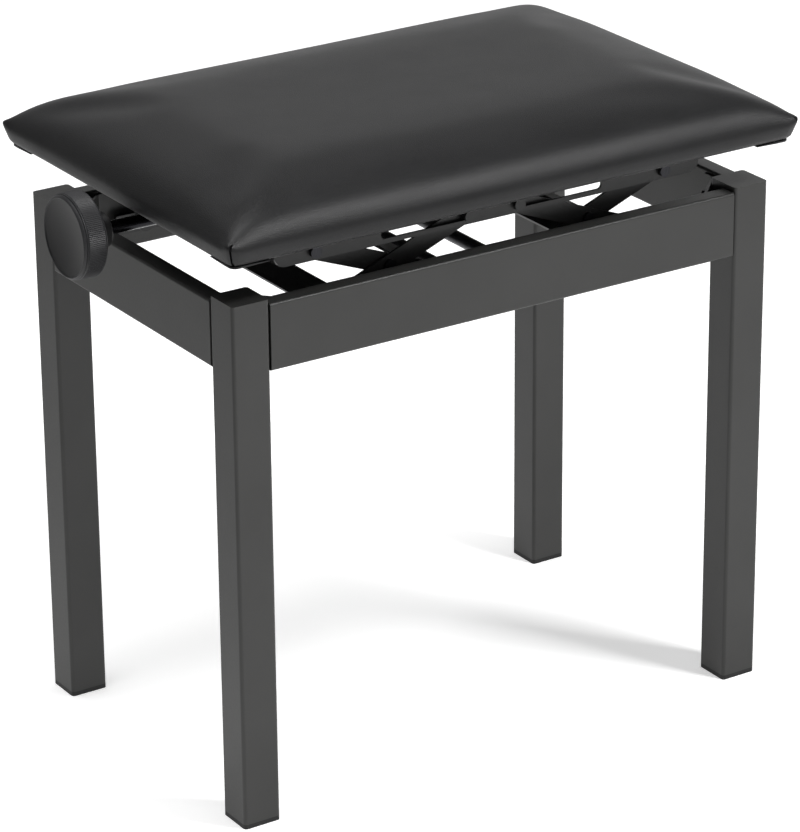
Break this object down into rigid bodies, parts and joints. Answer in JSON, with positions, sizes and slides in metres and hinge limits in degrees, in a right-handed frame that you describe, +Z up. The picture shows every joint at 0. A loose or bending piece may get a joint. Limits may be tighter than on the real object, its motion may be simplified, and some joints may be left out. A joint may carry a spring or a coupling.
{
  "type": "adjustable piano bench",
  "caption": "Height-adjustable piano bench: padded black seat on a knob-driven scissor lift in a square-tube steel frame.",
  "frame": {"origin": "on the floor, at the bottom centre of the whole bench's box: midway between the knob's face on the left and the seat's right end, 21 mm left of the steel frame's middle", "axes": "+X along the bench, +Y to its back, +Z up"},
  "size_m": [0.522, 0.32, 0.4808],
  "materials": {
    "frame_paint": "satin black powder coat",
    "lift_paint": "satin black powder coat on bent sheet",
    "dark_zinc": "black zinc plated steel",
    "bright_zinc": "bright zinc plated steel",
    "brass_nut": "turned",
    "nylon": "black nylon",
    "knob_plastic": "moulded, satin",
    "foot_plastic": "matte",
    "seat_vinyl": "black artificial leather, satin",
    "foam": "upholstery foam",
    "plywood": "raw plywood",
    "lining_cloth": "non-woven lining"
  },
  "bodies": {
    "frame": {"leg_front_left": "frame_paint", "leg_cap_front_left": "frame_paint", "leg_foot_front_left": "foot_plastic", "corner_bracket_front_left": "frame_paint", "leg_front_right": "frame_paint", "leg_cap_front_right": "frame_paint", "leg_foot_front_right": "foot_plastic", "corner_bracket_front_right": "frame_paint", "leg_back_right": "frame_paint", "leg_cap_back_right": "frame_paint", "leg_foot_back_right": "foot_plastic", "corner_bracket_back_right": "frame_paint", "leg_back_left": "frame_paint", "leg_cap_back_left": "frame_paint", "leg_foot_back_left": "foot_plastic", "corner_bracket_back_left": "frame_paint", "corner_bolts": "dark_zinc", "insert_nuts": "dark_zinc", "rail_front": "frame_paint", "rail_back": "frame_paint", "rail_left": "frame_paint", "rail_right": "frame_paint", "lower_track_front": "lift_paint", "lower_track_back": "lift_paint", "lower_pivot_studs": "dark_zinc"},
    "outer_arms_left": {"outer_arm_left": "lift_paint", "centre_rivets_left": "dark_zinc", "arm_washers_left": "nylon"},
    "inner_arms_left": {"inner_arm_left": "lift_paint", "lower_slide_rod_left": "dark_zinc"},
    "outer_arms_right": {"outer_arm_right": "lift_paint", "centre_rivets_right": "dark_zinc", "arm_washers_right": "nylon"},
    "inner_arms_right": {"inner_arm_right": "lift_paint", "lower_slide_rod_right": "dark_zinc"},
    "traveller_left": {"travelling_bar_left": "lift_paint", "spindle_nut_left": "brass_nut"},
    "traveller_right": {"travelling_bar_right": "lift_paint", "spindle_nut_right": "brass_nut"},
    "seat": {"upper_track_front": "lift_paint", "upper_track_back": "lift_paint", "end_plate_left": "lift_paint", "end_plate_right": "lift_paint", "upper_pivot_studs": "dark_zinc", "spindle_bushes": "nylon", "seat_board": "plywood", "seat_foam": "foam", "seat_cover": "seat_vinyl", "dust_cloth": "lining_cloth", "seat_screws": "dark_zinc", "cloth_staples": "bright_zinc"},
    "drive": {"spindle": "dark_zinc", "thrust_collars": "dark_zinc", "knob": "knob_plastic", "knob_inlay": "knob_plastic", "knob_grub_screws": "dark_zinc"}
  },
  "joints": [
    {"name": "seat_lift", "type": "hinge", "parent": "frame", "child": "outer_arms_left", "pos_m": [-0.1295, 0, 0.372], "axis": [0, -1, 0], "range_deg": [0, 43]},
    {"name": "left_cross", "type": "hinge", "parent": "outer_arms_left", "child": "inner_arms_left", "pos_m": [-0.065, 0, 0.397], "axis": [0, 1, 0], "range_deg": [0, 86]},
    {"name": "seat_level", "type": "hinge", "parent": "inner_arms_left", "child": "seat", "pos_m": [-0.1295, 0, 0.422], "axis": [0, -1, 0], "range_deg": [0, 43]},
    {"name": "left_bar_level", "type": "hinge", "parent": "outer_arms_left", "child": "traveller_left", "pos_m": [-0.0005, 0, 0.422], "axis": [0, 1, 0], "range_deg": [0, 43]},
    {"name": "right_outer_turn", "type": "hinge", "parent": "frame", "child": "outer_arms_right", "pos_m": [0.1715, 0, 0.372], "axis": [0, 1, 0], "range_deg": [0, 43]},
    {"name": "right_cross", "type": "hinge", "parent": "outer_arms_right", "child": "inner_arms_right", "pos_m": [0.107, 0, 0.397], "axis": [0, -1, 0], "range_deg": [0, 86]},
    {"name": "right_bar_level", "type": "hinge", "parent": "outer_arms_right", "child": "traveller_right", "pos_m": [0.0425, 0, 0.422], "axis": [0, -1, 0], "range_deg": [0, 43]},
    {"name": "knob_turn", "type": "hinge", "parent": "seat", "child": "drive", "pos_m": [0.021, 0, 0.422], "axis": [1, 0, 0], "range_deg": [0, 4128]}
  ],
  "couplings": [
    {"joint": "left_cross", "follows": "seat_lift", "ratio": 2},
    {"joint": "seat_level", "follows": "seat_lift", "ratio": 1},
    {"joint": "left_bar_level", "follows": "seat_lift", "ratio": 1},
    {"joint": "right_outer_turn", "follows": "seat_lift", "ratio": 1},
    {"joint": "right_cross", "follows": "seat_lift", "ratio": 2},
    {"joint": "right_bar_level", "follows": "seat_lift", "ratio": 1},
    {"joint": "knob_turn", "follows": "seat_lift", "ratio": 96}
  ]
}
